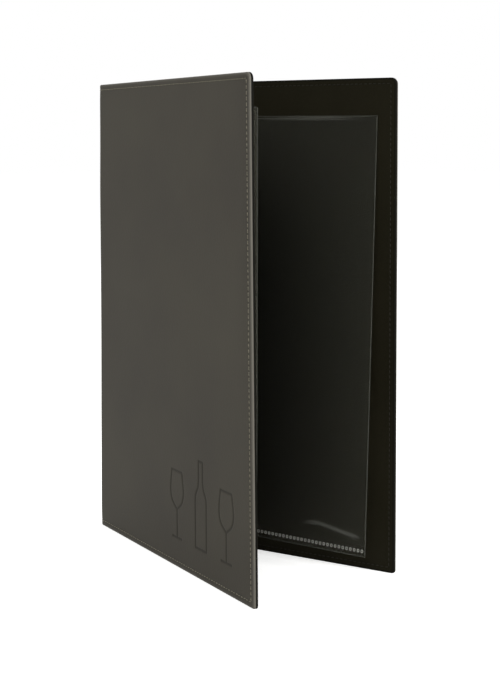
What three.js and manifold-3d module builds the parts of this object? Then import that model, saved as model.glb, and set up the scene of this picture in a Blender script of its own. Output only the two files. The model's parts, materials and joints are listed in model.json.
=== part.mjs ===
// Wine list folder: two board covers in leather and black lining, joined by a soft spine that
// holds two clear pocket leaves. It stands on its lower edges, open in a V towards -Y.
// Millimetres, +Z up, origin under the middle of the folder.
import * as THREE from 'three';
import { mergeVertices } from 'three/addons/utils/BufferGeometryUtils.js';
import Module from 'manifold-3d';

const wasm = await Module();
wasm.setup();

// Covers
const coverWidth = 251.5;
const coverHeight = 340;
const coverAngle = 14; // degrees between a cover and the middle plane of the V
const topCornerRadius = 4.5;
const bottomCornerRadius = 2;
const edgeRounding = 0.7;

// Layers of a cover, from the outside in
const leatherThickness = 1;
const boardThickness = 1.2;
const liningThickness = 0.7;
const layerGap = 0.25;
const turnedEdge = 1; // how thick the leather and the lining are where they turn round the board
const leatherTurnDepth = 1.45; // how far the leather comes round the edge

// Soft joint beside each hinge line, where leather and lining lie together without a board
const spineWidth = 10; // between the two hinge lines
const hingeGap = 0.3;
const liningStart = 2.2;
const slopeStart = 3.6;
const slopeEnd = 6.2;
const boardStart = 7.2;

// Clear pocket leaves, welded to a web that is sewn to the spine lining
const leafWidth = 237.5; // from the binding to the fore edge
const leafHeight = 301.5;
const filmThickness = 0.35;
const pocketSlot = 0.5;
const weldMargin = 3.7;
const bindingMargin = 10;
const leafSteps = 12;
const leafRootSide = 1.3; // from the middle plane, measured at leafRootDepth
const leafRootDepth = 1;
const frontLeaf = { bottom: 16.5, topAngle: 12.3, bottomAngle: 12.45, droop: 0 };
const backLeaf = { bottom: 14, topAngle: 13.9, bottomAngle: 10.6, droop: 1.3 };
const webThickness = 0.5;
const webSpread = 60; // degrees of the spine's curve that the web covers
const webGap = 0.3;

// Pressed mark near the lower fore corner of the front cover: a bottle between two glasses
const markDepth = 0.35;
const markLine = 1.3;
const markFromForeEdge = 76;
const markFromBottom = 21;
const bottleHeight = 60;
const bottleRadius = 8.5;
const stemHeight = 20;
const bowlHeight = 27;
const glassRadius = 10.5;
const markSpacing = 38; // between the middles of the bottle and a glass

const halfAngle = THREE.MathUtils.degToRad(coverAngle);
const outerFace = leatherThickness / 2;
const leatherInner = -leatherThickness / 2;
const boardOuter = leatherInner - layerGap;
const boardInner = boardOuter - boardThickness;
const liningOuter = boardInner - layerGap;
const innerFace = liningOuter - liningThickness;
const leatherTurnEnd = outerFace - leatherTurnDepth;
const liningTurnEnd = leatherTurnEnd - layerGap;
const jointLiningOuter = leatherInner - layerGap;
const jointLiningInner = jointLiningOuter - liningThickness;
const beyond = 5; // how far cutting solids reach past what they cut

const leatherMaterial = { color: 0x4e4b42, roughness: 0.55, metalness: 0 };
const boardMaterial = { color: 0x6d6455, roughness: 0.9, metalness: 0 };
const liningMaterial = { color: 0x1d1b16, roughness: 0.7, metalness: 0 };
const filmMaterial = {
  color: 0xd9dcda,
  roughness: 0.15,
  metalness: 0,
  transparent: true,
  opacity: 0.25,
};

function solidOf(geometry) {
  const bare = geometry.clone();
  bare.deleteAttribute('normal');
  bare.deleteAttribute('uv');
  const merged = mergeVertices(bare, 1e-5);
  return new wasm.Manifold(new wasm.Mesh({
    numProp: 3,
    vertProperties: new Float32Array(merged.attributes.position.array),
    triVerts: new Uint32Array(merged.index.array),
  }));
}

function geometryOf(solid) {
  const mesh = solid.getMesh();
  const geometry = new THREE.BufferGeometry();
  geometry.setAttribute('position', new THREE.BufferAttribute(mesh.vertProperties, 3));
  geometry.setIndex(new THREE.BufferAttribute(mesh.triVerts, 1));
  geometry.computeVertexNormals();
  return geometry;
}

function meshOf(name, solid, look) {
  const mesh = new THREE.Mesh(geometryOf(solid), new THREE.MeshStandardMaterial(look));
  mesh.name = name;
  return mesh;
}

// A cover's outline seen square on: X from the hinge line to the fore edge, Y up the cover.
function coverOutline(inset) {
  const left = -beyond;
  const right = coverWidth - inset;
  const low = inset;
  const high = coverHeight - inset;
  const lowRadius = Math.max(bottomCornerRadius - inset, 0.3);
  const highRadius = Math.max(topCornerRadius - inset, 0.3);
  const outline = new THREE.Shape();
  outline.moveTo(left, low);
  outline.lineTo(right - lowRadius, low);
  outline.absarc(right - lowRadius, low + lowRadius, lowRadius, -Math.PI / 2, 0);
  outline.lineTo(right, high - highRadius);
  outline.absarc(right - highRadius, high - highRadius, highRadius, 0, Math.PI / 2);
  outline.lineTo(left, high);
  outline.closePath();
  return outline;
}

// A plate with that outline between two depths. Depth counts outwards from the hinge line;
// side is 1 where outwards is the local +Y and -1 where it is -Y.
function plate(outline, low, high, side, rounding = 0) {
  const geometry = new THREE.ExtrudeGeometry(outline, {
    depth: high - low - 2 * rounding,
    curveSegments: 5,
    bevelEnabled: rounding > 0,
    bevelThickness: rounding,
    bevelSize: rounding,
    bevelOffset: -rounding,
    bevelSegments: 3,
  });
  geometry.rotateX(Math.PI / 2);
  geometry.translate(0, (side > 0 ? high : -low) - rounding, 0);
  return solidOf(geometry);
}

// A prism that stands on a section drawn as [distance from the hinge line, depth] points.
function prism(section, low, high, side) {
  const shape = new THREE.Shape(section.map(([x, depth]) => new THREE.Vector2(x, side * depth)));
  const geometry = new THREE.ExtrudeGeometry(shape, { depth: high - low, bevelEnabled: false });
  geometry.translate(0, 0, low);
  return solidOf(geometry);
}

function uprightPrism(section, side) {
  return prism(section, -beyond, coverHeight + beyond, side);
}

function coverEnvelope(side) {
  return plate(coverOutline(0), innerFace, outerFace, side, edgeRounding);
}

// Leather: the outer sheet and its turned edge, with a half-round end on the hinge line.
function leatherSolid(side) {
  const far = coverWidth + beyond;
  const region = uprightPrism([
    [0, outerFace + beyond],
    [far, outerFace + beyond],
    [far, leatherTurnEnd],
    [slopeEnd, leatherTurnEnd],
    [slopeEnd, leatherInner],
    [0, leatherInner],
  ], side);
  const hollow = plate(coverOutline(turnedEdge), leatherTurnEnd - beyond, leatherInner, side);
  const bead = new THREE.CylinderGeometry(outerFace, outerFace, coverHeight, 16);
  bead.rotateX(Math.PI / 2);
  bead.translate(0, 0, coverHeight / 2);
  return coverEnvelope(side).intersect(region).subtract(hollow).add(solidOf(bead));
}

function boardSolid(side) {
  const inset = turnedEdge + layerGap;
  const region = uprightPrism([
    [boardStart, boardOuter + beyond],
    [coverWidth, boardOuter + beyond],
    [coverWidth, boardInner - beyond],
    [boardStart, boardInner - beyond],
  ], side);
  return plate(coverOutline(inset), boardInner, boardOuter, side).intersect(region);
}

// Lining: flat over the board with a turned edge, then sloping down to meet the leather.
function liningSolid(side) {
  const far = coverWidth + beyond;
  const region = uprightPrism([
    [liningStart, jointLiningOuter],
    [slopeStart, jointLiningOuter],
    [slopeEnd, liningTurnEnd],
    [far, liningTurnEnd],
    [far, innerFace - beyond],
    [slopeEnd, innerFace - beyond],
    [slopeEnd, innerFace],
    [slopeStart, jointLiningInner],
    [liningStart, jointLiningInner],
  ], side);
  const slopeShift = boardStart - layerGap - slopeEnd;
  const hollowSection = uprightPrism([
    [slopeStart + slopeShift, outerFace + beyond],
    [slopeStart + slopeShift, jointLiningOuter],
    [slopeEnd + slopeShift, liningOuter],
    [far, liningOuter],
    [far, outerFace + beyond],
  ], side);
  const hollow = plate(coverOutline(turnedEdge), liningOuter, outerFace + beyond, side);
  return coverEnvelope(side).intersect(region).subtract(hollow.intersect(hollowSection));
}

// The mark's pressed lines, as [across, up] points from the middle of each drawing's foot.
function bottleLine() {
  const half = new THREE.SplineCurve([
    new THREE.Vector2(bottleRadius, bottleHeight * 0.52),
    new THREE.Vector2(bottleRadius * 0.9, bottleHeight * 0.61),
    new THREE.Vector2(bottleRadius * 0.5, bottleHeight * 0.69),
    new THREE.Vector2(bottleRadius * 0.36, bottleHeight * 0.78),
  ]).getPoints(8);
  const right = [
    new THREE.Vector2(0, 0),
    new THREE.Vector2(bottleRadius, 0),
    ...half,
    new THREE.Vector2(bottleRadius * 0.36, bottleHeight),
  ];
  const left = right.map((point) => new THREE.Vector2(-point.x, point.y)).reverse();
  return [...right, ...left];
}

function bowlLine() {
  const right = new THREE.SplineCurve([
    new THREE.Vector2(0, stemHeight),
    new THREE.Vector2(glassRadius * 0.75, stemHeight + bowlHeight * 0.2),
    new THREE.Vector2(glassRadius, stemHeight + bowlHeight * 0.5),
    new THREE.Vector2(glassRadius * 0.78, stemHeight + bowlHeight),
  ]).getPoints(12);
  const left = right.map((point) => new THREE.Vector2(-point.x, point.y)).reverse();
  return [...right, ...left];
}

function stemLine() {
  return [new THREE.Vector2(0, 0), new THREE.Vector2(0, stemHeight)];
}

function footLine() {
  return [new THREE.Vector2(-glassRadius * 0.7, 0), new THREE.Vector2(glassRadius * 0.7, 0)];
}

// A ribbon of even width along a line of points: each point moves half the width to both sides,
// square to the mean direction of the line there.
function ribbon(points, width) {
  const sides = points.map((point, index) => {
    const back = points[Math.max(index - 1, 0)];
    const next = points[Math.min(index + 1, points.length - 1)];
    const arriving = (index > 0 ? point.clone().sub(back) : next.clone().sub(point)).normalize();
    const leaving = (next === point ? arriving.clone() : next.clone().sub(point)).normalize();
    const across = new THREE.Vector2(-arriving.y - leaving.y, arriving.x + leaving.x).normalize();
    const normal = new THREE.Vector2(-arriving.y, arriving.x);
    const reach = width / 2 / Math.max(Math.abs(across.dot(normal)), 0.5);
    const left = point.clone().addScaledVector(across, reach);
    const right = point.clone().addScaledVector(across, -reach);
    return { left, right };
  });
  const lefts = sides.map((pair) => pair.left);
  const rights = sides.map((pair) => pair.right);
  return new THREE.Shape([...lefts, ...rights.reverse()]);
}

function pressedLine(points, foreDistance, side) {
  const groove = plate(ribbon(points, markLine), outerFace - markDepth, outerFace + beyond, side);
  return groove.translate([coverWidth - foreDistance, 0, markFromBottom]);
}

function markedLeather(side) {
  let leather = leatherSolid(side).subtract(pressedLine(bottleLine(), markFromForeEdge, side));
  for (const place of [markFromForeEdge - markSpacing, markFromForeEdge + markSpacing]) {
    for (const line of [bowlLine(), stemLine(), footLine()]) {
      leather = leather.subtract(pressedLine(line, place, side));
    }
  }
  return leather;
}

// Spine: leather and lining bent round one centre, tangent to the covers at the hinge lines.
const spineRadius = spineWidth / 2 / Math.cos(halfAngle);
const spineCentre = -spineWidth / 2 * Math.tan(halfAngle);

function spineStrip(inner, outer, startAngle, low, high) {
  const shape = new THREE.Shape();
  shape.absarc(0, spineCentre, outer, startAngle, Math.PI - startAngle, false);
  shape.absarc(0, spineCentre, inner, Math.PI - startAngle, startAngle, true);
  shape.closePath();
  const geometry = new THREE.ExtrudeGeometry(shape, {
    depth: high - low,
    curveSegments: 14,
    bevelEnabled: false,
  });
  geometry.translate(0, 0, low);
  return solidOf(geometry);
}

const spineStart = halfAngle + (leatherThickness / 2 + hingeGap) / spineRadius;
const spineLeatherInner = spineRadius - leatherThickness / 2;
const spineLiningOuter = spineLeatherInner - layerGap;
const spineLiningInner = spineLiningOuter - liningThickness;
const webOuter = spineLiningInner - webGap;
const webInner = webOuter - webThickness;
const webStart = Math.PI / 2 - THREE.MathUtils.degToRad(webSpread / 2);
const webBottom = Math.min(frontLeaf.bottom, backLeaf.bottom);
const webTop = Math.max(frontLeaf.bottom, backLeaf.bottom) + leafHeight;

// Pocket leaf: a slab that twists a little from its top to its bottom, less the slot for the
// sheet. Along X it runs from the binding to the fore edge. The twist turns each level about the
// leaf's root, and the droop lowers its fore edge.
function leafSlab(start, end, thickness, low, high, leaf, side) {
  const geometry = new THREE.BoxGeometry(end - start, thickness, high - low, 1, 1, leafSteps);
  geometry.translate((start + end) / 2, 0, (low + high) / 2);
  const position = geometry.attributes.position;
  for (let i = 0; i < position.count; i += 1) {
    const x = position.getX(i);
    const y = position.getY(i);
    const z = position.getZ(i);
    const share = (z - leaf.bottom) / leafHeight;
    const degrees = THREE.MathUtils.lerp(leaf.bottomAngle, leaf.topAngle, share);
    const angle = THREE.MathUtils.degToRad(degrees);
    const across = leafRootSide + x * Math.sin(angle) + y * Math.cos(angle);
    const deep = -leafRootDepth - x * Math.cos(angle) + y * Math.sin(angle);
    position.setXYZ(i, side * across, deep, z - leaf.droop * Math.max(x, 0) / leafWidth);
  }
  if (side < 0) {
    geometry.setIndex([...geometry.index.array].reverse());
  }
  return solidOf(geometry);
}

function leafSolid(leaf, side) {
  const thickness = 2 * filmThickness + pocketSlot;
  const meanAngle = THREE.MathUtils.degToRad((leaf.bottomAngle + leaf.topAngle) / 2);
  const webHeight = spineCentre + webInner * Math.cos(Math.asin(leafRootSide / webInner));
  const start = -(webHeight - webGap + leafRootDepth) / Math.cos(meanAngle);
  const top = leaf.bottom + leafHeight;
  const body = leafSlab(start, leafWidth, thickness, leaf.bottom, top, leaf, side);
  const slot = leafSlab(bindingMargin, leafWidth - weldMargin, pocketSlot,
    leaf.bottom + weldMargin, top + beyond, leaf, side);
  return body.subtract(slot);
}

// Assembly: each cover stands in a group that is turned to the cover's direction.
const backCover = new THREE.Group();
backCover.position.x = spineWidth / 2;
backCover.rotation.z = halfAngle - Math.PI / 2;
backCover.add(meshOf('back_outer_leather', leatherSolid(1), leatherMaterial));
backCover.add(meshOf('back_board', boardSolid(1), boardMaterial));
backCover.add(meshOf('back_lining', liningSolid(1), liningMaterial));

const frontCover = new THREE.Group();
frontCover.position.x = -spineWidth / 2;
frontCover.rotation.z = -halfAngle - Math.PI / 2;
frontCover.add(meshOf('front_outer_leather', markedLeather(-1), leatherMaterial));
frontCover.add(meshOf('front_board', boardSolid(-1), boardMaterial));
frontCover.add(meshOf('front_lining', liningSolid(-1), liningMaterial));

const spineLeatherOuter = spineRadius + leatherThickness / 2;
const spineLeather = spineStrip(spineLeatherInner, spineLeatherOuter, spineStart, 0, coverHeight);
const spineLining = spineStrip(spineLiningInner, spineLiningOuter, spineStart, 0, coverHeight);
const web = spineStrip(webInner, webOuter, webStart, webBottom, webTop);

const folder = new THREE.Group();
folder.add(frontCover, backCover);
folder.add(meshOf('spine_leather', spineLeather, leatherMaterial));
folder.add(meshOf('spine_lining', spineLining, liningMaterial));
folder.add(meshOf('pocket_web', web, filmMaterial));
folder.add(meshOf('front_pocket_leaf', leafSolid(frontLeaf, -1), filmMaterial));
folder.add(meshOf('back_pocket_leaf', leafSolid(backLeaf, 1), filmMaterial));

// The origin goes half way between the spine's back and the fore edges.
const extent = new THREE.Box3().setFromObject(folder, true);
folder.position.y = -(extent.min.y + extent.max.y) / 2;

export default folder;
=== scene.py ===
"""Looks of the wine list folder: taupe leather covers, black lining, stitching and clear pockets.

Lengths are in millimetres until a mesh is made; Blender's own unit is the metre.
"""
import json
import math

import bmesh
import bpy
import numpy as np
from mathutils import Euler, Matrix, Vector


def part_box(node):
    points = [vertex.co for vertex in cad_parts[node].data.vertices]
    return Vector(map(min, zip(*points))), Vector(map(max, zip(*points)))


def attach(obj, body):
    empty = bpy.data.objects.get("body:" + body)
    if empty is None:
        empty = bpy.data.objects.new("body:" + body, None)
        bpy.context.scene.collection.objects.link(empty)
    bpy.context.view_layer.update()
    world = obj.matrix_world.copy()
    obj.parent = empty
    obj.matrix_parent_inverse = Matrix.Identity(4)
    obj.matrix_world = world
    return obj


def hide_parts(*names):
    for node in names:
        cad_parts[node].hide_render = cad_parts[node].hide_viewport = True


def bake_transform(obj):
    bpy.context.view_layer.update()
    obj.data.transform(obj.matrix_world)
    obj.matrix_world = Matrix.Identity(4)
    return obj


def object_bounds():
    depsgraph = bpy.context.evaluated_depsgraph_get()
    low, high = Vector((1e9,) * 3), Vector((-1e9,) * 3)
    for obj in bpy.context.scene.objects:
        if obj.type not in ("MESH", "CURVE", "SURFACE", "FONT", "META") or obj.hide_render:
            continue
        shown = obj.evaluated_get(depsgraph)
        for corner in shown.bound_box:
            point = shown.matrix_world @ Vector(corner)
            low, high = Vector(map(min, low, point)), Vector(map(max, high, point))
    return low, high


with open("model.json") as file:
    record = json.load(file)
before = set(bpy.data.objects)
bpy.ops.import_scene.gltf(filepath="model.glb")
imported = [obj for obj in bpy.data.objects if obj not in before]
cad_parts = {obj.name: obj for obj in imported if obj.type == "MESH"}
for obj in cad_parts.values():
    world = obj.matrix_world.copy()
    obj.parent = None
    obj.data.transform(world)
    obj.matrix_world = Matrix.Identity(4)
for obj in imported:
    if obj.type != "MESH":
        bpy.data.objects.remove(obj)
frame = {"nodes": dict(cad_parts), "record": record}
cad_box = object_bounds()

MM = 0.001
FRONT = -1  # side of the middle plane on which a cover or a leaf lies
BACK = 1
SIDE_NAME = {FRONT: "front", BACK: "back"}
BODY = {FRONT: "front_cover", BACK: "back_cover"}

# The hinge lines and the cover's size come from the frame.
joints = frame["record"]["behaviour"]["joints"]
back_joint = next(joint for joint in joints if joint["name"] == "back_hinge")
HINGE_SIDE = back_joint["pos_m"][0] / MM
HINGE_DEPTH = back_joint["pos_m"][1] / MM
COVER_ANGLE = math.radians(-back_joint["range_deg"][0])
COVER_HEIGHT = cad_box[1][2] / MM
CAD_ROUNDING = 0.7

# Layers of a cover, as depths outwards from the hinge line
OUTER_FACE = 0.5
JOINT_LINING = -1.45  # lining where it lies on the leather, beside the hinge
INNER_FACE = -2.9  # lining where it lies on the board
BOARD_OUTER = -0.85
BOARD_INNER = -1.95
BOARD_START = 7.2
TURN_MEETING = -1.0  # where the turned edges of leather and lining meet
LEATHER_THICKNESS = 0.85
LINING_THICKNESS = 0.6
SLOPE_START = 3.6
SLOPE_END = 6.6
TOP_CORNER = 4.5
BOTTOM_CORNER = 2.0
LEATHER_ROLL = 1.0
LINING_ROLL = 0.8

fore_edge_depth = HINGE_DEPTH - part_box("back_lining")[0][1] / MM
inner_rounding = (INNER_FACE + CAD_ROUNDING) * math.sin(COVER_ANGLE) - CAD_ROUNDING
COVER_WIDTH = CAD_ROUNDING + (fore_edge_depth + inner_rounding) / math.cos(COVER_ANGLE)
SPINE_RADIUS = HINGE_SIDE / math.cos(COVER_ANGLE)
SPINE_CENTRE = HINGE_DEPTH - HINGE_SIDE * math.tan(COVER_ANGLE)
HALF_ARC = SPINE_RADIUS * (math.pi / 2 - COVER_ANGLE)
COVER_WARP = {FRONT: 3.5, BACK: 0.0}  # how far the fore edge leans out from foot to head
SPINE_WAVE = 0.45

# Sewing
STITCH_INSET = 4.0
STITCH_PITCH = 3.6
STITCH_LENGTH = 2.7
STITCH_SLANT = 0.07
THREAD_WIDTH = 0.7
THREAD_PROUD = 0.1  # how far a stitch's middle stands above the floor of its groove

# Pressed mark: a bottle between two glasses
MARK_DEPTH = 0.38
MARK_LINE = 1.3
MARK_ALONG = COVER_WIDTH - 76
MARK_FOOT = 21
BOTTLE_HEIGHT = 60
BOTTLE_RADIUS = 8.5
STEM_HEIGHT = 20
BOWL_HEIGHT = 27
GLASS_RADIUS = 10.5
MARK_SPACING = 38

# Clear pocket leaves
LEAF_WIDTH = 237.5
LEAF_HEIGHT = 301.5
LEAF_ROOT_SIDE = 1.3
LEAF_ROOT_DEPTH = 1.0
BINDING_DEPTH = 8.0  # from the hinge lines to the seam where the pocket starts
WEB_UNDERSIDE = 1.25  # behind the hinge lines
LEAF = {
    FRONT: {"bottom": 16.5, "top_angle": 12.3, "bottom_angle": 12.45, "droop": 0.0},
    BACK: {"bottom": 14.0, "top_angle": 13.9, "bottom_angle": 10.6, "droop": 1.3},
}
FILM = 0.22
FILM_CLEARANCE = 0.02
POCKET_GAP = 0.55
WELD_MARGIN = 3.7
WELD_PITCH = 3.2
WELD_RADIUS = 0.8
WELD_BEAD = 0.27
WELD_PROUD = 0.25  # how far the dots stand past each film
WELD_STRETCH = 1.15  # a dot's height over its width
WELD_END = 2.4  # from the last dot's middle to the fore edge
BINDING_CLEARANCE = 0.03
RIM_RADIUS = 0.36
LIP_RADIUS = 0.2
MOUTH_DIP = 1.9  # how much lower the near film's top edge lies at its middle
MOUTH_OPENING = 1.1
# The far film's mouth band is a painted highlight: its width and strength follow.
MOUTH_BAND = 3.4  # how far below the head the far film's mouth still catches the light
MOUTH_SHINE = 0.42

# Crease over the back leaf's weld, along the leaf from its root and up from its foot
CREASE_START = 184
CREASE_BEND = 197
CREASE_END = 234
CREASE_RISE = 18.2  # height of the bend
CREASE_FALL = 0.16  # how steeply the line falls on both sides of the bend
CREASE_DEPTH = 0.55
CREASE_HALF_WIDTH = 1.25


def smooth(share):
    """0 before 0, 1 after 1, and 3s^2 - 2s^3 between."""
    share = np.clip(share, 0.0, 1.0)
    return share * share * (3.0 - 2.0 * share)


def bump(distance, width):
    """A bell of height 1 that falls off over the given width."""
    return np.exp(-((distance / width) ** 2))


def stations(*spans):
    """Rising places along a line: each span is (start, end, largest step)."""
    parts = [
        np.linspace(start, end, max(int(math.ceil((end - start) / step)), 1) + 1)
        for start, end, step in spans
    ]
    return np.unique(np.round(np.concatenate(parts), 5))


def cover_place(side, along, out, height):
    """Point of a cover or of the spine beside it.

    Along counts from the hinge line: a cover is the straight line at the cover's angle, and
    negative values run round the spine's arc to its middle. Out is the distance outwards from
    that line, along its normal. The warp leans the fore edge out at the head and in at the
    foot, and two slow sine waves up the spine swell its arc a little.
    """
    values = [np.asarray(value, float) for value in (along, out, height)]
    along, out, height = np.broadcast_arrays(*values)
    level = height / COVER_HEIGHT - 0.5
    out = out + COVER_WARP[side] * level * np.clip(along, 0, None) / COVER_WIDTH
    sine, cosine = math.sin(COVER_ANGLE), math.cos(COVER_ANGLE)
    flat_across = HINGE_SIDE + along * sine + out * cosine
    flat_deep = HINGE_DEPTH - along * cosine + out * sine
    angle = COVER_ANGLE - np.minimum(along, 0) / SPINE_RADIUS
    wave = np.sin(height / 31.0) + 0.7 * np.sin(height / 13.7 + 1.1)
    swell = SPINE_WAVE * wave * smooth(-along / HALF_ARC) * np.cos(angle)
    radius = SPINE_RADIUS + out + swell
    across = np.where(along < 0, radius * np.cos(angle), flat_across)
    deep = np.where(along < 0, SPINE_CENTRE + radius * np.sin(angle), flat_deep)
    return np.stack([side * across, deep, height], axis=-1)


def leaf_angle(side, rise):
    """Degrees between a leaf and the middle plane, from its foot (rise 0) to its head (1)."""
    leaf = LEAF[side]
    return leaf["bottom_angle"] + (leaf["top_angle"] - leaf["bottom_angle"]) * rise


def leaf_place(side, away, off, rise):
    """Point of a pocket leaf: away from its root along the leaf's direction, which turns from
    foot to head, off its middle surface along the leaf's normal, and up by its rise in
    millimetres. The fore edge droops in proportion to its distance."""
    leaf = LEAF[side]
    away, off, rise = np.broadcast_arrays(*[np.asarray(v, float) for v in (away, off, rise)])
    angle = np.radians(leaf_angle(side, rise / LEAF_HEIGHT))
    across = LEAF_ROOT_SIDE + away * np.sin(angle) + off * np.cos(angle)
    deep = HINGE_DEPTH - LEAF_ROOT_DEPTH - away * np.cos(angle) + off * np.sin(angle)
    drop = leaf["droop"] * np.clip(away, 0, None) / LEAF_WIDTH
    return np.stack([side * across, deep, leaf["bottom"] + rise - drop], axis=-1)


def grid_normals(points):
    """Unit normals of a grid of points: the cross product of its two directions."""
    normals = np.cross(np.gradient(points, axis=0), np.gradient(points, axis=1))
    return normals / np.maximum(np.linalg.norm(normals, axis=-1, keepdims=True), 1e-9)


def grid_faces(rows, columns):
    """Four-sided faces of a grid whose points are numbered row by row."""
    number = np.arange(rows * columns).reshape(rows, columns)
    corners = [number[:-1, :-1], number[:-1, 1:], number[1:, 1:], number[1:, :-1]]
    return np.stack([corner.ravel() for corner in corners], axis=1)


def tube_faces(rings, around, closed=False):
    """Four-sided faces between rings of points; closed joins the last ring to the first."""
    number = np.arange(rings * around).reshape(rings, around)
    onward = np.roll(number, -1, axis=0)
    if not closed:
        number, onward = number[:-1], onward[:-1]
    corners = [number, np.roll(number, -1, axis=1), np.roll(onward, -1, axis=1), onward]
    return np.stack(corners, axis=-1).reshape(-1, 4)


def repeated(faces, count, points_each):
    """The faces of one small shape, renumbered for that many copies of it."""
    shift = np.arange(count)[:, None, None] * points_each
    return [(kind + shift).reshape(-1, kind.shape[1]) for kind in faces]


def make_mesh(name, points, faces, material, crease=38):
    """A closed mesh from points in millimetres and arrays of faces, all turned outwards."""
    corners = [face for kind in faces for face in kind.tolist()]
    mesh = bpy.data.meshes.new(name)
    mesh.from_pydata((np.asarray(points).reshape(-1, 3) * MM).tolist(), [], corners)
    work = bmesh.new()
    work.from_mesh(mesh)
    bmesh.ops.recalc_face_normals(work, faces=work.faces)
    work.to_mesh(mesh)
    work.free()
    mesh.polygons.foreach_set("use_smooth", [True] * len(mesh.polygons))
    mesh.set_sharp_from_angle(angle=math.radians(crease))
    mesh.materials.append(material)
    piece = bpy.data.objects.new(name, mesh)
    bpy.context.scene.collection.objects.link(piece)
    return piece


def note_on(piece, name, values):
    """Store one number for each point under this name, for the piece's material to read."""
    layer = piece.data.attributes.new(name, "FLOAT", "POINT")
    layer.data.foreach_set("value", np.asarray(values, float).ravel())


def shell(name, face, back, material):
    """A closed sheet between two grids of points, joined by a strip all round."""
    rows, columns = face.shape[:2]
    count = rows * columns
    number = np.arange(count).reshape(rows, columns)
    sides = [number[0, :-1], number[:-1, -1], number[-1, :0:-1], number[:0:-1, 0]]
    ring = np.concatenate(sides)
    after = np.roll(ring, -1)
    strip = np.stack([ring, after, after + count, ring + count], axis=1)
    grid = grid_faces(rows, columns)
    points = np.concatenate([face.reshape(-1, 3), back.reshape(-1, 3)])
    return make_mesh(name, points, [grid, grid[:, ::-1] + count, strip], material)


def follow_cover(piece):
    """Bakes the piece's placing into its mesh."""
    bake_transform(piece)


def bend_at_hinge(piece):
    """Bakes the piece's placing into its mesh, through follow_cover."""
    follow_cover(piece)


def bend_with_leaf(piece):
    """Bakes the piece's placing into its mesh, through follow_cover.
    """
    follow_cover(piece)


def roll_stations(limit, radius, depth, steps=4):
    """Stations past a cover's edge that become a quarter round of this radius, then a straight
    turned edge down to the depth."""
    arc = limit - radius + radius * math.pi / 2 * np.arange(1, steps + 1) / steps
    return np.append(arc, arc[-1] + depth - radius)


def edge_stations(limit, roll, depth):
    """Stations from the field to a turned edge, close together at the stitch groove."""
    nearby = [-5.0, -2.2, -1.3, -0.8, -0.4, 0.0, 0.4, 0.8, 1.3, 2.0]
    inner = limit - STITCH_INSET + np.array(nearby)
    return np.concatenate([inner, [limit - roll], roll_stations(limit, roll, depth)])


def sheet_stations(roll, depth, marked):
    """Along and height stations of a cover's sheet, fine where the mark lies."""
    fine = 0.6
    coarse = 6.0
    reach = MARK_SPACING + GLASS_RADIUS + 3
    mark_top = MARK_FOOT + BOTTLE_HEIGHT + 3
    field_end = COVER_WIDTH - 12
    field_top = COVER_HEIGHT - 12
    spine = [(-HALF_ARC, 0, 0.6), (0, 8, 1.0)]
    if marked:
        low, high = MARK_ALONG - reach, MARK_ALONG + reach
        spans = spine + [(8, low, coarse), (low, high, fine), (high, field_end, 4.0)]
        rises = [(12, MARK_FOOT - 3, 2.0), (MARK_FOOT - 3, mark_top, fine)]
        rises.append((mark_top, field_top, coarse))
    else:
        spans = spine + [(8, field_end, coarse)]
        rises = [(12, field_top, coarse)]
    along = np.concatenate([stations(*spans), edge_stations(COVER_WIDTH, roll, depth)])
    high_edge = edge_stations(COVER_HEIGHT, roll, depth)
    low_edge = COVER_HEIGHT - high_edge
    heights = np.concatenate([low_edge, stations(*rises), high_edge])
    return np.unique(along), np.unique(heights)


def turned_sheet(side, along, heights, roll, face_out, turn_way, reach):
    """Grid of a sheet that covers one face and turns round its edges.

    A station beyond the core of the outline is measured from the nearest core point: its
    distance becomes a radius up to the edge, then a quarter round, then depth. Around a corner
    the direction from the core point is kept, so the corner is round.
    Returns the points and each point's distance in from the edge.
    """
    along, height = np.meshgrid(along, heights, indexing="ij")
    corner = np.where(height > COVER_HEIGHT / 2, TOP_CORNER, BOTTOM_CORNER)
    core_along = np.minimum(along, COVER_WIDTH - corner)
    core_height = np.clip(height, corner, COVER_HEIGHT - corner)
    over_along = along - core_along
    over_height = height - core_height
    distance = np.maximum(np.abs(over_along), np.abs(over_height))
    length = np.maximum(np.hypot(over_along, over_height), 1e-9)
    before_roll = corner - roll
    turn = np.clip((distance - before_roll) / roll, 0, math.pi / 2)
    spread = np.minimum(distance, before_roll) + roll * np.sin(turn)
    past = np.clip(distance - before_roll - roll * math.pi / 2, 0, None)
    depth = np.minimum(roll * (1 - np.cos(turn)) + past, reach(along))
    spot_along = core_along + over_along / length * spread
    spot_height = core_height + over_height / length * spread
    edge = np.minimum(spot_height, COVER_HEIGHT - spot_height)
    edge = np.minimum(edge, COVER_WIDTH - spot_along)
    edge = np.where(distance > 0, np.minimum(edge, corner - spread), edge)
    out = face_out(spot_along, spot_height, edge) + turn_way * depth
    return cover_place(side, spot_along, out, spot_height), edge


def segment_distance(across, up, line):
    """Distance from each point to the nearest of a line's segments."""
    nearest = np.full(across.shape, 1e9)
    for (x0, y0), (x1, y1) in zip(line[:-1], line[1:]):
        run, rise = x1 - x0, y1 - y0
        square = max(run**2 + rise**2, 1e-9)
        share = np.clip(((across - x0) * run + (up - y0) * rise) / square, 0, 1)
        away = np.hypot(across - x0 - share * run, up - y0 - share * rise)
        nearest = np.minimum(nearest, away)
    return nearest


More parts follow.
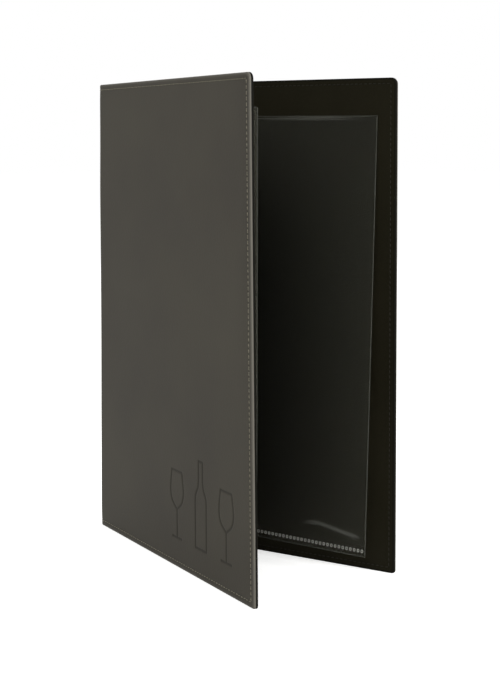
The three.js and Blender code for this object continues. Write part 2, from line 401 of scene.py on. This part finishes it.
def round_line(knots, count):
    """A smooth line through the knots: each span is a Catmull-Rom cubic."""
    knots = np.asarray(knots, float)
    ends = np.vstack([2 * knots[0] - knots[1], knots, 2 * knots[-1] - knots[-2]])
    t = np.linspace(0, 1, count, endpoint=False)[:, None]
    spans = []
    for a, b, c, d in zip(ends[:-3], ends[1:-2], ends[2:-1], ends[3:]):
        square = (2 * a - 5 * b + 4 * c - d) * t**2
        cube = (3 * b - a - 3 * c + d) * t**3
        spans.append((2 * b + (c - a) * t + square + cube) / 2)
    return np.vstack([*spans, knots[-1:]])


def mirrored(line):
    """The line, followed by its mirror image run backwards."""
    return np.vstack([line, (line * [-1, 1])[::-1]])


def mark_lines():
    """Lines of the pressed mark, from the middle of its foot."""
    neck = BOTTLE_RADIUS * 0.36
    shoulder = round_line([
        (BOTTLE_RADIUS, BOTTLE_HEIGHT * 0.52),
        (BOTTLE_RADIUS * 0.9, BOTTLE_HEIGHT * 0.61),
        (BOTTLE_RADIUS * 0.5, BOTTLE_HEIGHT * 0.69),
        (neck, BOTTLE_HEIGHT * 0.78),
    ], 4)
    base = [(0, 0), (BOTTLE_RADIUS, 0)]
    mouth = [(neck, BOTTLE_HEIGHT), (0, BOTTLE_HEIGHT)]
    bowl = mirrored(round_line([
        (0.01, STEM_HEIGHT),
        (GLASS_RADIUS * 0.75, STEM_HEIGHT + BOWL_HEIGHT * 0.2),
        (GLASS_RADIUS, STEM_HEIGHT + BOWL_HEIGHT * 0.5),
        (GLASS_RADIUS * 0.78, STEM_HEIGHT + BOWL_HEIGHT),
    ], 5))
    stem = np.array([(0.0, 0.0), (0.0, STEM_HEIGHT)])
    foot = np.array([(-GLASS_RADIUS * 0.7, 0.0), (GLASS_RADIUS * 0.7, 0.0)])
    lines = [mirrored(np.vstack([base, shoulder, mouth]))]
    for shift in (-MARK_SPACING, MARK_SPACING):
        lines += [line + [shift, 0] for line in (bowl, stem, foot)]
    return lines


def mark_share(along, height):
    """1 on the pressed mark's lines, fading over their shoulders to 0."""
    distance = np.full(along.shape, 1e9)
    for line in mark_lines():
        away = segment_distance(along - MARK_ALONG, height - MARK_FOOT, line)
        distance = np.minimum(distance, away)
    return 1 - smooth((distance - MARK_LINE * 0.35) / (MARK_LINE * 0.6))


def leather_out(side):
    """Height of the leather's face over the hinge line's depth: the stitch groove pulls it in,
    the field stands a little proud, and slow waves keep it from being flat."""
    def out(along, height, edge):
        groove = 0.22 * bump(edge - STITCH_INSET, 0.7)
        field = 0.12 * smooth((edge - STITCH_INSET) / 9)
        long_wave = 0.09 * np.sin(along / 23.0 + 0.6) * np.sin(height / 37.0)
        short_wave = 0.05 * np.sin(height / 17.0 + along / 29.0)
        waves = (long_wave + short_wave) * smooth(edge / 20)
        pressed = MARK_DEPTH * mark_share(along, height) if side == FRONT else 0.0
        return OUTER_FACE + field + waves - groove - pressed
    return out


def leather_reach(along):
    """How deep the leather's turned edge goes: one thickness at the spine, to the meeting line
    on the cover."""
    return 1.0 + (OUTER_FACE - TURN_MEETING - 1.03) * smooth((along - 1) / 5)


def lining_face(along):
    """Depth of the lining's face: on the leather beside the hinge, then up on the board."""
    rise = smooth((along - SLOPE_START) / (SLOPE_END - SLOPE_START))
    return JOINT_LINING + (INNER_FACE - JOINT_LINING) * rise


def lining_out(along, height, edge):
    """Height of the lining's face, with its own stitch groove and slow waves."""
    groove = 0.15 * bump(edge - STITCH_INSET, 0.7) * smooth((along - SLOPE_END) / 4)
    waves = 0.08 * np.sin(along / 27.0) * np.sin(height / 41.0 + 0.8) * smooth(edge / 20)
    return lining_face(along) + groove + waves


def lining_reach(along):
    """How deep the lining's turned edge goes, to just short of the leather's."""
    return 0.42 + (TURN_MEETING - INNER_FACE - 0.47) * smooth((along - SLOPE_START) / 4)


def cover_sheet(side, lining, material):
    """The leather or the lining, from the middle of the spine round the cover's edges. Its back
    is its face moved along the normals by the sheet's thickness."""
    if lining:
        name, cad_name, slot_name = "lining_sheet", "lining", "black_lining"
        face_depth, roll, thickness, inward = INNER_FACE, LINING_ROLL, LINING_THICKNESS, 1
        out, reach = lining_out, lining_reach
    else:
        name, cad_name, slot_name = "leather_sheet", "outer_leather", "outer_leather"
        face_depth, roll, thickness, inward = OUTER_FACE, LEATHER_ROLL, LEATHER_THICKNESS, -1
        out, reach = leather_out(side), leather_reach
    marked = side == FRONT and not lining
    along, heights = sheet_stations(roll, abs(face_depth - TURN_MEETING), marked)
    face, edge = turned_sheet(side, along, heights, roll, out, inward, reach)
    normals = grid_normals(face)
    into = cover_place(side, 100, inward, 170) - cover_place(side, 100, 0, 170)
    if normals[len(along) // 2, len(heights) // 2] @ into < 0:
        normals = -normals
    piece = shell(f"{SIDE_NAME[side]}_{name}", face, face + normals * thickness, material)
    # Painted shade: the stitch groove, and on the front leather the mark's lines, are painted
    # darker, as in the shade of those hollows.
    pressed = 0.55 * bump(edge - STITCH_INSET, 0.45)
    if marked:
        flat_along, flat_height = np.meshgrid(along, heights, indexing="ij")
        pressed = np.maximum(pressed, mark_share(flat_along, flat_height))
    # Painted light along the turned edges: on the leather a paler tone, partly wear and partly a
    # painted highlight; on the lining a near black, painted shade.
    edge_wear_and_painted_light = smooth(1 - edge / 2.2)
    note_on(piece, "pressed", [pressed, pressed])
    note_on(piece, "edge_wear_and_painted_light", [edge_wear_and_painted_light, edge_wear_and_painted_light])
    bend_at_hinge(piece)
    spine_name = "spine_lining" if lining else "spine_leather"
    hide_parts(f"{SIDE_NAME[side]}_{cad_name}", spine_name)


def cover_board(side, material):
    """The stiff board inside a cover: a flat grid between two depths, between leather and
    lining, which leans with the cover's warp."""
    margin = LEATHER_ROLL + 0.5
    along = np.linspace(BOARD_START, COVER_WIDTH - margin, 30)
    heights = np.linspace(margin + 0.5, COVER_HEIGHT - margin - 0.5, 30)
    along, height = np.meshgrid(along, heights, indexing="ij")
    face = cover_place(side, along, BOARD_OUTER, height)
    back = cover_place(side, along, BOARD_INNER, height)
    piece = shell(f"{SIDE_NAME[side]}_cover_board", face, back, material)
    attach(piece, BODY[side])
    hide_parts(f"{SIDE_NAME[side]}_board")


def seam_places():
    """Places and directions of the stitches: from the spine along the head, down the fore edge
    and back along the foot, one pitch apart."""
    right, low, high = COVER_WIDTH - STITCH_INSET, STITCH_INSET, COVER_HEIGHT - STITCH_INSET
    corners = np.array([(-HALF_ARC, high), (right, high), (right, low), (-HALF_ARC, low)])
    places = []
    for start, end in zip(corners[:-1], corners[1:]):
        length = np.linalg.norm(end - start)
        count = int(length // STITCH_PITCH)
        shares = (np.arange(count)[:, None] + 0.5) / count
        direction = np.tile((end - start) / length, (count, 1))
        places.append(np.hstack([start + shares * (end - start), direction]))
    return np.vstack(places)


def one_stitch():
    """A stitch lying along X: rings of a long ellipsoid, closed by a point at each end.
    Returns its points and its faces."""
    tilt = np.linspace(-math.pi / 2, math.pi / 2, 6)[1:-1]
    tilt, turn = np.meshgrid(tilt, np.arange(6) * math.pi / 3, indexing="ij")
    size = np.array([STITCH_LENGTH, THREAD_WIDTH, THREAD_WIDTH]) / 2
    ring = [np.sin(tilt), np.cos(tilt) * np.cos(turn), np.cos(tilt) * np.sin(turn)]
    rings = np.stack(ring, axis=-1).reshape(-1, 3)
    points = np.vstack([rings, [(-1, 0, 0), (1, 0, 0)]]) * size
    first = np.arange(6)
    last = first + 18
    tips = np.concatenate([
        np.stack([np.full(6, 24), np.roll(first, -1), first], axis=1),
        np.stack([np.full(6, 25), last, np.roll(last, -1)], axis=1),
    ])
    return points, [tube_faces(4, 6), tips]


def sewn_row(name, centres, axes, material):
    """A row of stitches: each copy's points are its centre plus the stitch's coordinates along
    that place's three axes."""
    points, faces = one_stitch()
    placed = centres[:, None, :] + points @ axes
    return make_mesh(name, placed, repeated(faces, len(centres), len(points)), material)


def unit(vectors):
    """The vectors, each divided by its length."""
    return vectors / np.linalg.norm(vectors, axis=1, keepdims=True)


def cover_stitches(name, side, surface, material):
    """Thread round a cover, each stitch half sunk in the groove. A stitch lies along the seam,
    turned by a small slant, and its other two axes come from the cover's normal."""
    along, height, run, rise = seam_places().T
    run, rise = run - STITCH_SLANT * rise, rise + STITCH_SLANT * run
    out = surface(along)
    centres = cover_place(side, along, out, height)
    ahead = cover_place(side, along + run * 0.5, out, height + rise * 0.5)
    tangent = unit(ahead - centres)
    normal = unit(cover_place(side, along, out + 0.5, height) - centres)
    axes = np.stack([tangent, np.cross(normal, tangent), normal], axis=1)
    piece = sewn_row(f"{SIDE_NAME[side]}_{name}", centres, axes, material)
    bend_at_hinge(piece)


def leather_groove(along):
    """Depth of the thread's middle on the leather: the groove's floor and a little more."""
    return np.full(along.shape, OUTER_FACE - 0.2 + THREAD_PROUD)


def web_stitches(material):
    """The seam up the middle of the web, which holds it on the spine lining: upright stitches
    one pitch apart."""
    heights = np.arange(18.0, 316.0, STITCH_PITCH)
    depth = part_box("pocket_web")[1][1] / MM - 0.62
    centres = np.stack([np.zeros_like(heights), np.full_like(heights, depth), heights], axis=1)
    upright = np.array([(0, 0, 1), (1, 0, 0), (0, 1, 0)], float)
    axes = np.broadcast_to(upright, (len(heights), 3, 3))
    piece = sewn_row("web_stitches", centres, axes, material)
    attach(piece, "spine")


def film_course(near, away, first, rise, crease):
    """How far a pocket's film stands off the leaf's middle and how far its edge is lowered.

    The two films lie together along the foot, the fore edge and the binding, and stand apart
    between. At the open head the near film bows forward and its edge hangs a little lower.
    """
    middle = np.sin(math.pi * np.clip((away - first) / (LEAF_WIDTH - first), 0, 1))
    between = smooth((LEAF_WIDTH - away - 2) / 9) * smooth((away - first) / 12)
    gap = POCKET_GAP * between * smooth((rise - WELD_MARGIN) / 10)
    off = FILM / 2 + FILM_CLEARANCE + gap / 2
    if not near:
        return off, 0.0 * away
    mouth = MOUTH_OPENING * middle * smooth((rise / LEAF_HEIGHT - 0.9) / 0.1)
    dip = MOUTH_DIP * middle**0.7 * smooth((rise / LEAF_HEIGHT - 0.93) / 0.07)
    return -off - mouth - crease, dip


def leaf_crease(side, away, rise):
    """A soft crease over the back leaf's weld: a bell across a line that rises to a bend and
    falls again towards the fore edge."""
    if side == FRONT:
        return 0.0 * away
    fade_in = 7
    fade_out = 6
    line = CREASE_RISE - CREASE_FALL * np.abs(away - CREASE_BEND)
    along = smooth((away - CREASE_START) / fade_in) * smooth((CREASE_END - away) / fade_out)
    return CREASE_DEPTH * along * bump(rise - line, CREASE_HALF_WIDTH)


def finish_on_leaf(piece):
    """Bakes the piece's placing into its mesh, through bend_with_leaf."""
    bend_with_leaf(piece)


def leaf_film(side, near, material):
    """One film of a pocket: a grid from the binding's seam to the fore edge, closely spaced at
    the fore edge, the foot and the head, and moved off the leaf's middle by its course."""
    fore_steps = 1 - np.array([0.5, 1, 2, 3.5, 6, 10]) / LEAF_WIDTH
    shares = np.unique(np.concatenate([np.linspace(0, 1, 42), fore_steps]))
    foot_steps = np.arange(1.0, 24.0)
    head_steps = LEAF_HEIGHT - np.array([0.6, 1.4, 2.2, 2.6, 3.0, 3.4, 3.8])
    rises = np.concatenate([np.linspace(0, LEAF_HEIGHT, 56), foot_steps, head_steps])
    share, rise = np.meshgrid(shares, np.unique(rises), indexing="ij")
    angle = np.radians(leaf_angle(side, rise / LEAF_HEIGHT))
    first = (BINDING_DEPTH - LEAF_ROOT_DEPTH) / np.cos(angle)
    away = first + (LEAF_WIDTH - first) * share
    crease = leaf_crease(side, away, rise)
    off, dip = film_course(near, away, first, rise, crease)
    face = leaf_place(side, away, off + FILM / 2, rise - dip)
    back = leaf_place(side, away, off - FILM / 2, rise - dip)
    name = f"{SIDE_NAME[side]}_leaf_{'near' if near else 'far'}_film"
    piece = shell(name, face, back, material)
    # Painted highlight: the far film's mouth is painted paler above the near film's edge, and the
    # near film along its crease.
    mouth = MOUTH_SHINE * smooth((share - 0.52) / 0.25) * smooth((0.98 - share) / 0.14)
    mouth = mouth * smooth((rise - LEAF_HEIGHT + MOUTH_BAND) / 0.8)
    painted_highlight = crease if near else mouth
    note_on(piece, "painted_highlight", [painted_highlight, painted_highlight])
    finish_on_leaf(piece)
    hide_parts(f"{SIDE_NAME[side]}_pocket_leaf")


def bead(name, side, route, radius, material):
    """A thin round edge along a route of (away, off, rise) points of a leaf: a ring of six
    points round each, square to the route."""
    turns = np.arange(6) * math.pi / 3
    direction = unit(np.gradient(route[:, [0, 2]], axis=0))
    away = route[:, :1] - direction[:, 1:] * radius * np.cos(turns)
    rise = route[:, 2:] + direction[:, :1] * radius * np.cos(turns)
    points = leaf_place(side, away, route[:, 1:2] + radius * np.sin(turns), rise)
    number = np.arange(len(route) * 6).reshape(-1, 6)
    faces = [tube_faces(len(route), 6), number[:1], number[-1:, ::-1]]
    piece = make_mesh(f"{SIDE_NAME[side]}_{name}", points, faces, material, crease=80)
    finish_on_leaf(piece)


def film_edges(side, material):
    """Edges of a pocket that catch the light: the fused rim along its fore edge and its foot,
    where both films end together, and the cut edge of each film at the open head. They are grey
    beads far less clear than the film: at the rim partly the fused films' own cloudiness, and for
    the rest a painted highlight for the light on those edges."""
    start = BINDING_DEPTH - LEAF_ROOT_DEPTH + 0.3
    fore = [(LEAF_WIDTH, 0, rise) for rise in np.linspace(LEAF_HEIGHT, 0, 60)]
    foot = [(away, 0, 0) for away in np.linspace(LEAF_WIDTH, start, 50)[1:]]
    bead("leaf_fused_rim", side, np.array(fore + foot, float), RIM_RADIUS, material)
    away = np.linspace(start, LEAF_WIDTH, 50)
    for near, name in ((True, "near_film_lip"), (False, "far_film_lip")):
        off, dip = film_course(near, away, start, LEAF_HEIGHT, 0.0)
        route = np.stack([away, off, LEAF_HEIGHT - dip], axis=1)
        bead(name, side, route, LIP_RADIUS, material)


def weld_rings(side, material):
    """The dotted weld along the foot: each dot is a raised ring round a pressed centre, and it
    stands a little proud of both films."""
    last = LEAF_WIDTH - WELD_END
    away = last - np.arange(int((last - BINDING_DEPTH) // WELD_PITCH)) * WELD_PITCH
    turn = np.arange(10) * math.pi / 5
    turn, section = np.meshgrid(turn, np.arange(4) * math.pi / 2, indexing="ij")
    spread = (WELD_RADIUS + WELD_BEAD * np.cos(section)).ravel()
    turn = turn.ravel()
    off = (FILM + WELD_PROUD) * np.sin(section).ravel()
    across = away[:, None] + spread * np.cos(turn)
    rise = WELD_MARGIN + WELD_STRETCH * spread * np.sin(turn)
    points = leaf_place(side, across, off, rise)
    faces = repeated([tube_faces(10, 4, closed=True)], len(away), 40)
    name = f"{SIDE_NAME[side]}_leaf_weld_rings"
    finish_on_leaf(make_mesh(name, points, faces, material, crease=80))


def leaf_binding(side, material):
    """The strip of film between the web on the spine and the pocket's seam, along the leaf's
    direction."""
    deep = np.linspace(-WEB_UNDERSIDE, BINDING_DEPTH, 14)
    deep, rise = np.meshgrid(deep, np.linspace(0, LEAF_HEIGHT, 40), indexing="ij")
    angle = np.radians(leaf_angle(side, rise / LEAF_HEIGHT))
    away = (deep - LEAF_ROOT_DEPTH) / np.cos(angle)
    half = FILM + BINDING_CLEARANCE
    face = leaf_place(side, away, half, rise)
    back = leaf_place(side, away, -half, rise)
    piece = shell(f"{SIDE_NAME[side]}_leaf_binding", face, back, material)
    bend_with_leaf(piece)


def linear(code):
    """An sRGB hex colour as linear RGB with alpha 1."""
    parts = [int(code[i:i + 2], 16) / 255 for i in (1, 3, 5)]
    parts = [c / 12.92 if c <= 0.04045 else ((c + 0.055) / 1.055) ** 2.4 for c in parts]
    return (*parts, 1.0)


def add(tree, kind, settings=None, links=None):
    """Adds a node: settings are attributes or input values, links are input to output socket."""
    node = tree.nodes.new(kind)
    for key, value in (settings or {}).items():
        if isinstance(key, int) or key in node.inputs:
            node.inputs[key].default_value = value
        else:
            setattr(node, key, value)
    for key, socket in (links or {}).items():
        tree.links.new(node.inputs[key], socket)
    return node


def new_material(name):
    """A material with nodes, its node tree and its shader."""
    material = bpy.data.materials.new(name)
    material.use_nodes = True
    tree = material.node_tree
    return material, tree, tree.nodes["Principled BSDF"]


def per_metre(millimetres):
    """Texture scale at which one feature is this many millimetres wide."""
    return 1000.0 / millimetres


def ramp_between(tree, value, dark, light, low=0.0, high=1.0):
    """Colour that runs from dark at low to light at high."""
    ramp = add(tree, "ShaderNodeValToRGB", links={"Fac": value})
    for element, position, code in zip(ramp.color_ramp.elements, (low, high), (dark, light)):
        element.position = position
        element.color = linear(code)
    return ramp.outputs["Color"]


def mixed_with(tree, colour, code, share, strength):
    """The colour, with another one laid over it where the share's attribute is high."""
    layer = add(tree, "ShaderNodeAttribute", {"attribute_name": share})
    layer = {0: layer.outputs["Fac"]}
    amount = add(tree, "ShaderNodeMath", {"operation": "MULTIPLY", 1: strength}, layer)
    layers = {0: amount.outputs[0], 6: colour}
    mix = add(tree, "ShaderNodeMix", {"data_type": "RGBA", 7: linear(code)}, layers)
    return mix.outputs[2]


def grained_sheet(name, dark, light, edge, grain, roughness, depth, shine):
    """Coated leather, calendered over a fine pebble grain: a soft satin that breaks up small
    highlights, with a slow drift in tone where the coating lies thicker. Where the sheet is
    pressed, in the stitch groove and the mark's lines, it is painted darker: painted shade in
    those hollows. Its turned edges are painted the edge colour: on the leather a paler tone that
    is partly wear and partly a painted highlight, on the lining a near black that is painted
    shade."""
    material, tree, shader = new_material(name)
    place = {"Vector": add(tree, "ShaderNodeTexCoord").outputs["Object"]}
    slow = add(tree, "ShaderNodeTexNoise", {"Scale": per_metre(90), "Detail": 3.0}, place)
    fine = add(tree, "ShaderNodeTexNoise", {"Scale": per_metre(grain), "Detail": 4.0}, place)
    pebble = add(tree, "ShaderNodeTexVoronoi", {
        "feature": "SMOOTH_F1",
        "Scale": per_metre(grain * 1.6),
        "Smoothness": 0.6,
    }, place)
    drift = {2: slow.outputs["Fac"], 3: fine.outputs["Fac"]}
    tone = add(tree, "ShaderNodeMix", {"data_type": "FLOAT", "Factor": 0.3}, drift)
    colour = ramp_between(tree, tone.outputs[0], dark, light, 0.36, 0.64)
    # Painted light along the turned edges: paler on the leather, partly wear and partly a painted
    # highlight; near black on the lining, painted shade.
    colour = mixed_with(tree, colour, edge, "edge_wear_and_painted_light", 0.8)
    # Painted shade: darker where the sheet is pressed, in the stitch groove and the mark's lines.
    colour = mixed_with(tree, colour, "#0e0e0b", "pressed", 0.42)
    tree.links.new(shader.inputs["Base Color"], colour)
    gloss = {"To Min": roughness - 0.06, "To Max": roughness + 0.06}
    gloss = add(tree, "ShaderNodeMapRange", gloss, {"Value": fine.outputs["Fac"]})
    tree.links.new(shader.inputs["Roughness"], gloss.outputs["Result"])
    relief = {"Height": pebble.outputs["Distance"]}
    relief = add(tree, "ShaderNodeBump", {"Strength": 0.5, "Distance": depth * MM}, relief)
    pores = {"Height": fine.outputs["Fac"], "Normal": relief.outputs["Normal"]}
    pores = add(tree, "ShaderNodeBump", {"Strength": 0.4, "Distance": depth * 0.7 * MM}, pores)
    tree.links.new(shader.inputs["Normal"], pores.outputs["Normal"])
    shader.inputs["IOR"].default_value = 1.48
    shader.inputs["Specular IOR Level"].default_value = shine
    return material


def thread(name, dark, light):
    """Twisted polyester thread: slanting plies that shade each stitch, without much shine."""
    material, tree, shader = new_material(name)
    place = {"Vector": add(tree, "ShaderNodeTexCoord").outputs["Object"]}
    turned = add(tree, "ShaderNodeMapping", {"Rotation": (0.5, 0.4, 0.6)}, place)
    turned = {"Vector": turned.outputs["Vector"]}
    # Plies are drawn 3 mm wide, coarser than real ones, so that they show.
    plies = add(tree, "ShaderNodeTexWave", {"Scale": per_metre(3.0), "Distortion": 0.5}, turned)
    colour = ramp_between(tree, plies.outputs["Fac"], dark, light)
    tree.links.new(shader.inputs["Base Color"], colour)
    relief = {"Height": plies.outputs["Fac"]}
    relief = add(tree, "ShaderNodeBump", {"Strength": 0.4, "Distance": 0.1 * MM}, relief)
    tree.links.new(shader.inputs["Normal"], relief.outputs["Normal"])
    shader.inputs["Roughness"].default_value = 0.65
    shader.inputs["Specular IOR Level"].default_value = 0.15
    return material


def cast_film(name, code, facing_alpha, slant_alpha, roughness, shine):
    """Cast polypropylene film: see-through from the front, milkier and brighter where it is seen
    at a slant, with the faint ripple of a cast sheet. Light on its far side makes it glow a
    little. Where its attribute is high it is painted pale grey and made less clear: a painted
    highlight along the back leaf's crease and across the far film's mouth."""
    material, tree, shader = new_material(name)
    place = {"Vector": add(tree, "ShaderNodeTexCoord").outputs["Object"]}
    ripple = add(tree, "ShaderNodeTexNoise", {"Scale": per_metre(45), "Detail": 2.0}, place)
    relief = {"Height": ripple.outputs["Fac"]}
    relief = add(tree, "ShaderNodeBump", {"Strength": 0.25, "Distance": 1.2 * MM}, relief)
    tree.links.new(shader.inputs["Normal"], relief.outputs["Normal"])
    haze = {"To Min": roughness, "To Max": roughness + 0.08}
    haze = add(tree, "ShaderNodeMapRange", haze, {"Value": ripple.outputs["Fac"]})
    tree.links.new(shader.inputs["Roughness"], haze.outputs["Result"])
    slant = add(tree, "ShaderNodeLayerWeight", {"Blend": 0.35})
    veil = {"From Min": 0.2, "From Max": 0.5, "To Min": facing_alpha, "To Max": slant_alpha}
    veil = add(tree, "ShaderNodeMapRange", veil, {"Value": slant.outputs["Facing"]})
    # Painted highlight: where this attribute is high, along the crease and the far film's mouth,
    # the film is painted pale grey and made less clear.
    white = add(tree, "ShaderNodeAttribute", {"attribute_name": "painted_highlight"})
    veil_and_highlight_alpha = {0: white.outputs["Fac"], 2: veil.outputs["Result"]}
    veil_and_highlight_alpha = add(tree, "ShaderNodeMix", {"data_type": "FLOAT", 3: 0.6}, veil_and_highlight_alpha)
    tree.links.new(shader.inputs["Alpha"], veil_and_highlight_alpha.outputs[0])
    colours = {"data_type": "RGBA", 6: linear(code), 7: linear("#8d8e86")}
    colour = add(tree, "ShaderNodeMix", colours, {0: white.outputs["Fac"]})
    tree.links.new(shader.inputs["Base Color"], colour.outputs[2])
    glow = add(tree, "ShaderNodeBsdfTranslucent", {"Color": linear("#a5a393")})
    share = add(tree, "ShaderNodeMath", {"operation": "MULTIPLY", 1: 0.14}, {0: veil_and_highlight_alpha.outputs[0]})
    layers = {0: share.outputs[0], 1: shader.outputs[0], 2: glow.outputs[0]}
    both = add(tree, "ShaderNodeMixShader", links=layers)
    tree.links.new(tree.nodes["Material Output"].inputs["Surface"], both.outputs[0])
    shader.inputs["IOR"].default_value = 1.5
    shader.inputs["Specular IOR Level"].default_value = shine
    return material


def grey_board(name):
    """Bookbinding board, pressed from waste fibre: matt, speckled grey-brown."""
    material, tree, shader = new_material(name)
    place = {"Vector": add(tree, "ShaderNodeTexCoord").outputs["Object"]}
    fibre = add(tree, "ShaderNodeTexNoise", {"Scale": per_metre(1.5), "Detail": 5.0}, place)
    colour = ramp_between(tree, fibre.outputs["Fac"], "#5e5648", "#7d7464")
    tree.links.new(shader.inputs["Base Color"], colour)
    shader.inputs["Roughness"].default_value = 0.9
    return material


def seen_directly(tree):
    """1 for a ray that shows what it hits: from the camera, off gloss or through film."""
    path = add(tree, "ShaderNodeLightPath")
    camera_or_gloss = {0: path.outputs["Is Camera Ray"], 1: path.outputs["Is Glossy Ray"]}
    first = add(tree, "ShaderNodeMath", {"operation": "MAXIMUM"}, camera_or_gloss)
    rays = {0: first.outputs[0], 1: path.outputs["Is Transmission Ray"]}
    return add(tree, "ShaderNodeMath", {"operation": "MAXIMUM"}, rays).outputs[0]


def white_studio():
    """A world that is white to look at and lights the folder softly from all round."""
    world = bpy.data.worlds.new("white_studio")
    bpy.context.scene.world = world
    world.use_nodes = True
    tree = world.node_tree
    tree.nodes.clear()
    strength = {"Value": seen_directly(tree)}
    strength = add(tree, "ShaderNodeMapRange", {"To Min": 0.5, "To Max": 1.0}, strength)
    light = {"Strength": strength.outputs["Result"]}
    light = add(tree, "ShaderNodeBackground", {"Color": (1, 1, 1, 1)}, light)
    add(tree, "ShaderNodeOutputWorld", links={"Surface": light.outputs[0]})


def pale_floor():
    """A plain pale floor that keeps the folder's shadow. Its lift towards white shows only to
    rays that see it directly, so it adds no light to the folder."""
    material, tree, shader = new_material("matt_white_floor")
    shader.inputs["Base Color"].default_value = linear("#ececea")
    shader.inputs["Roughness"].default_value = 0.95
    shader.inputs["Specular IOR Level"].default_value = 0.0
    shader.inputs["Emission Color"].default_value = (1, 1, 1, 1)
    lift = {0: seen_directly(tree)}
    lift = add(tree, "ShaderNodeMath", {"operation": "MULTIPLY", 1: 0.6}, lift)
    tree.links.new(shader.inputs["Emission Strength"], lift.outputs[0])
    reach = 12.0
    corners = [(-reach, -reach, 0), (reach, -reach, 0), (reach, reach, 0), (-reach, reach, 0)]
    mesh = bpy.data.meshes.new("floor")
    mesh.from_pydata(corners, [], [(0, 1, 2, 3)])
    mesh.materials.append(material)
    floor = bpy.data.objects.new("floor", mesh)
    bpy.context.scene.collection.objects.link(floor)


def area_lamp(name, place, target, size, power):
    """A round soft lamp, in metres, aimed at the target."""
    data = bpy.data.lights.new(name, "AREA")
    data.shape = "DISK"
    data.size = size
    data.energy = power
    lamp = bpy.data.objects.new(name, data)
    bpy.context.scene.collection.objects.link(lamp)
    lamp.location = place
    lamp.rotation_mode = "QUATERNION"
    lamp.rotation_quaternion = (Vector(target) - Vector(place)).to_track_quat("-Z", "Y")


def camera():
    """At the photograph's viewing angle: level with the folder's head, turned to the fore edge
    of the front cover."""
    data = bpy.data.cameras.new("camera")
    data.lens = 84.2
    data.sensor_width = 36
    data.shift_y = -0.1653
    seer = bpy.data.objects.new("camera", data)
    bpy.context.scene.collection.objects.link(seer)
    seer.location = Vector((-716.6, -864.7, 295.5)) * MM
    seer.rotation_euler = Euler((math.radians(90 - 3), 0, math.radians(-41.22)))
    bpy.context.scene.camera = seer


# The edge colours are painted light: the leather's paler edge is partly wear and partly a painted
# highlight, the lining's near black edge is painted shade.
leather = grained_sheet(
    "coated_leather_taupe", "#403d37", "#46433b", edge="#64615a",
    grain=1.1, roughness=0.55, depth=0.12, shine=0.05,
)
lining = grained_sheet(
    "coated_lining_black", "#19170e", "#1f1d14", edge="#040403",
    grain=0.9, roughness=0.6, depth=0.08, shine=0.04,
)
outer_thread = thread("polyester_thread_taupe", "#656154", "#878373")
inner_thread = thread("polyester_thread_black", "#191710", "#26241c")
film = cast_film(
    "cast_film_clear", "#595a53",
    facing_alpha=0.06, slant_alpha=0.65, roughness=0.18, shine=0.3,
)
# Painted highlight: the rim and lip beads are a grey far less clear than the film, standing in
# for light on the pocket's edges; at the fused rim this is partly the weld's own cloudiness.
rim_film = cast_film(
    "fused_rim_and_painted_edge_highlight", "#4c4d46",
    facing_alpha=0.5, slant_alpha=0.7, roughness=0.25, shine=0.12,
)
weld_film = cast_film(
    "pressed_weld_film", "#c4c5bd",
    facing_alpha=0.85, slant_alpha=0.95, roughness=0.35, shine=0.25,
)
board = grey_board("bookbinding_board")

for side in (FRONT, BACK):
    cover_sheet(side, False, leather)
    cover_sheet(side, True, lining)
    cover_board(side, board)
    cover_stitches("outer_stitches", side, leather_groove, outer_thread)
    cover_stitches("inner_stitches", side, lining_face, inner_thread)
    leaf_film(side, True, film)
    leaf_film(side, False, film)
    film_edges(side, rim_film)
    weld_rings(side, weld_film)
    leaf_binding(side, film)
web = frame["nodes"]["pocket_web"]
web.data.materials.clear()
web.data.materials.append(film)
web_stitches(inner_thread)

camera()
white_studio()
pale_floor()
area_lamp("key_lamp", (-1.5, -1.0, 1.6), (0, 0, 0.15), size=1.4, power=22)
area_lamp("edge_lamp", (0.6, -1.9, 0.7), (0, 0, 0.17), size=0.8, power=36)
area_lamp("back_lamp", (1.5, 1.5, 1.5), (0, 0, 0.15), size=1.4, power=18)
bpy.context.scene.view_settings.view_transform = "Standard"
